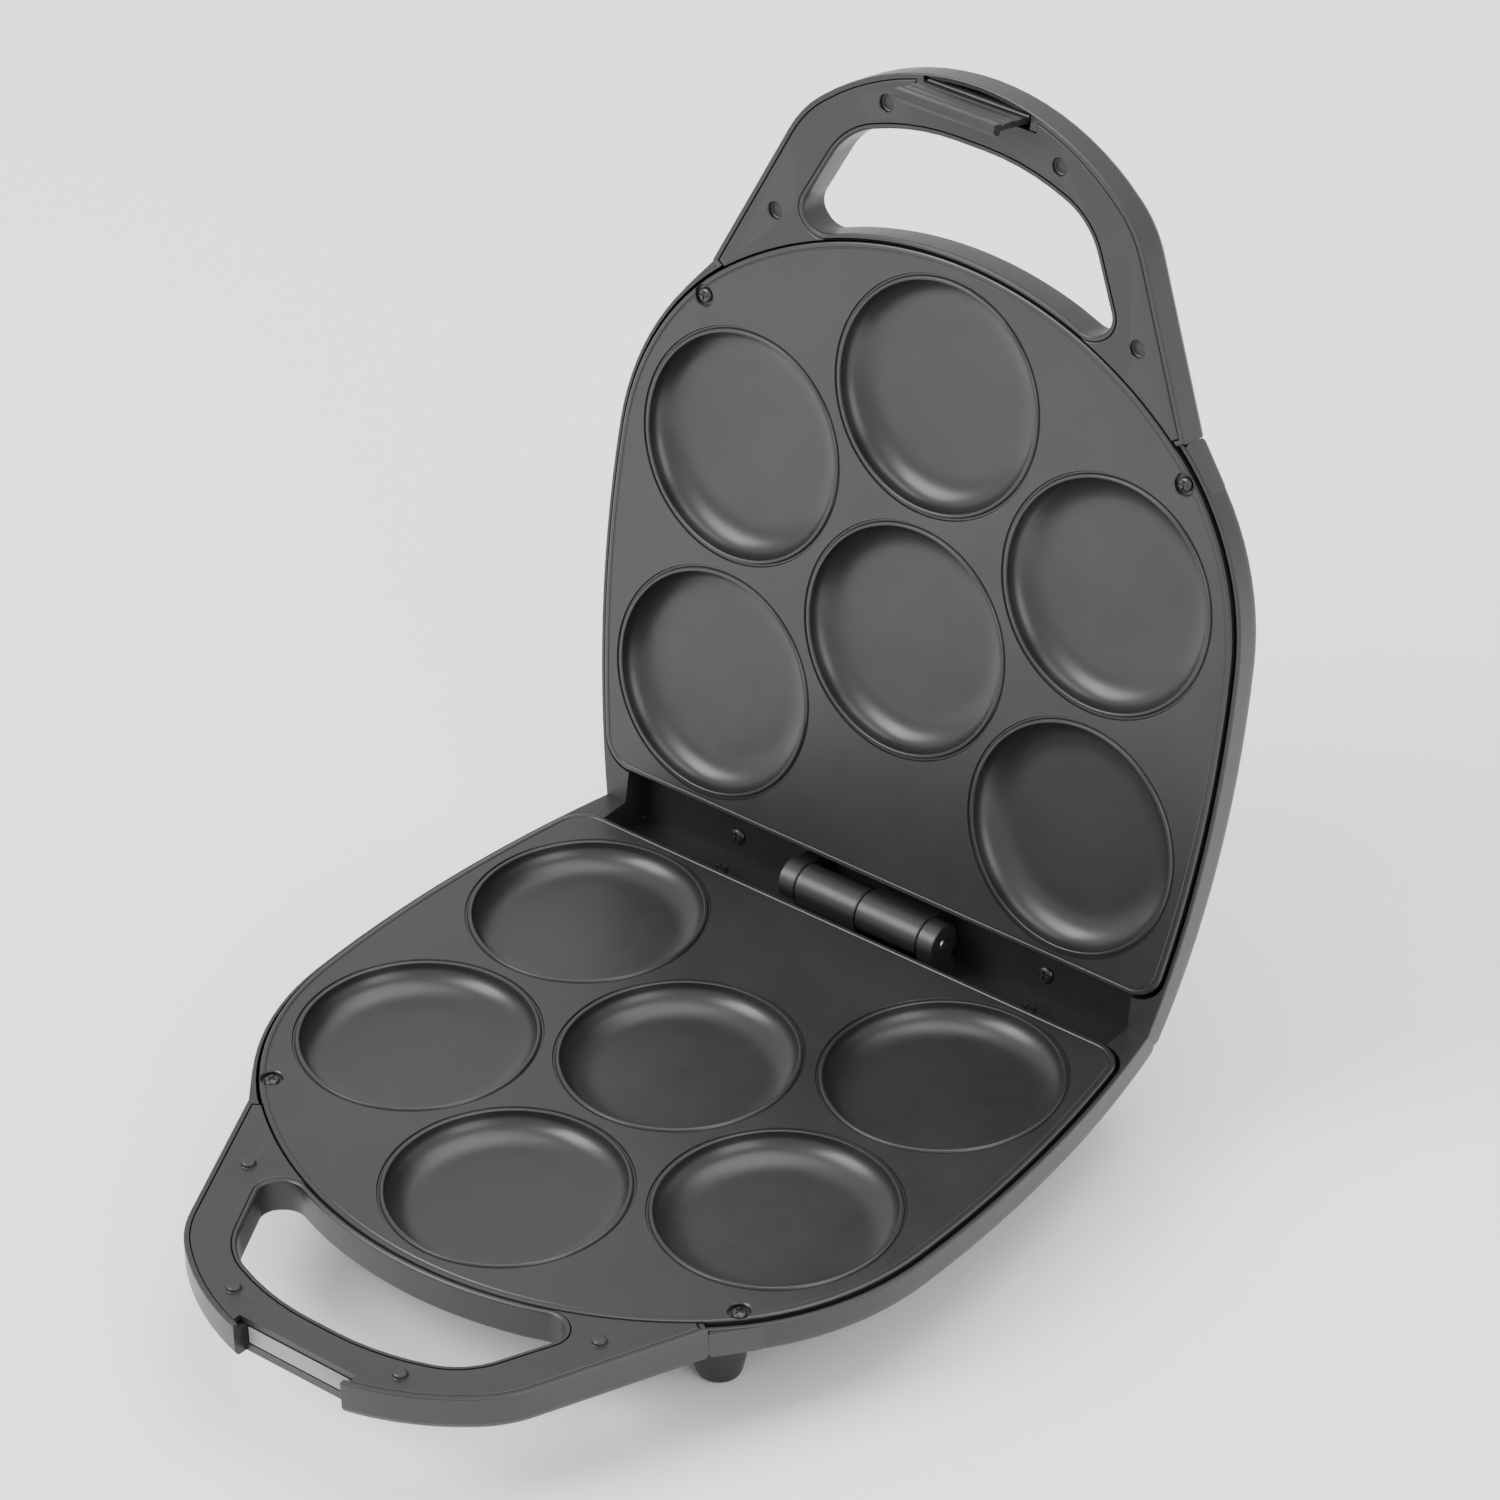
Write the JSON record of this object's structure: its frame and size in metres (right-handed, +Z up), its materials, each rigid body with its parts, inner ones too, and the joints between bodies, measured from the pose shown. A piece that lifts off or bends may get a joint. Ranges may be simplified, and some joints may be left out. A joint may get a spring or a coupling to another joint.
{
  "type": "mini pancake maker",
  "caption": "Hinged electric maker for small round pancakes: two dished non-stick plates in dark shells with looped handles, a snap latch and short feet, shown open.",
  "frame": {"origin": "middle of the footprint of the open appliance, on the surface it stands on", "axes": "+Z up, +Y from the handles to the hinge and the raised lid, +X to the right along the hinge axis"},
  "size_m": [0.25, 0.3558, 0.3228],
  "materials": {
    "charcoal_plastic": "satin charcoal plastic",
    "nonstick_coating": "dark satin non-stick coating on cast aluminium",
    "steel": "plain steel",
    "black_screw": "blackened steel",
    "aluminium_sheet": "bright rolled sheet",
    "black_rubber": "matte",
    "keeper_grey": "light grey satin",
    "red_lens": "clear red",
    "green_lens": "clear green",
    "bulb_glass": "clear glass"
  },
  "bodies": {
    "base": {"base_shell": "charcoal_plastic", "base_handle_cover": "charcoal_plastic", "base_cooking_plate": "nonstick_coating", "base_heating_element": "steel", "base_heat_reflector": "aluminium_sheet", "base_plate_screw_left": "black_screw", "base_plate_screw_right": "black_screw", "base_rear_screw_left": "black_screw", "base_rear_screw_right": "black_screw", "base_thermostat": "steel", "base_thermal_fuse": "aluminium_sheet", "foot_pad_front_left": "black_rubber", "foot_pad_front_right": "black_rubber", "foot_pad_rear_left": "black_rubber", "foot_pad_rear_right": "black_rubber", "cord_gland": "black_rubber", "latch_keeper": "keeper_grey", "hinge_pin": "steel"},
    "lid": {"lid_shell": "charcoal_plastic", "lid_handle_cover": "charcoal_plastic", "lid_cooking_plate": "nonstick_coating", "lid_heating_element": "steel", "lid_heat_reflector": "aluminium_sheet", "lid_plate_screw_left": "black_screw", "lid_plate_screw_right": "black_screw", "lid_rear_screw_left": "black_screw", "lid_rear_screw_right": "black_screw", "latch_pin": "steel", "power_lamp_lens": "red_lens", "power_lamp_bulb": "bulb_glass", "ready_lamp_lens": "green_lens", "ready_lamp_bulb": "bulb_glass"},
    "latch": {"latch_clip": "charcoal_plastic"}
  },
  "joints": [
    {"name": "lid_hinge", "type": "hinge", "parent": "base", "child": "lid", "pos_m": [0, 0.1062, 0.042], "axis": [1, 0, 0], "range_deg": [0, 102]},
    {"name": "latch_pivot", "type": "hinge", "parent": "lid", "child": "latch", "pos_m": [0, 0.16779, 0.31639], "axis": [-1, 0, 0], "range_deg": [-5.3, 15]}
  ]
}
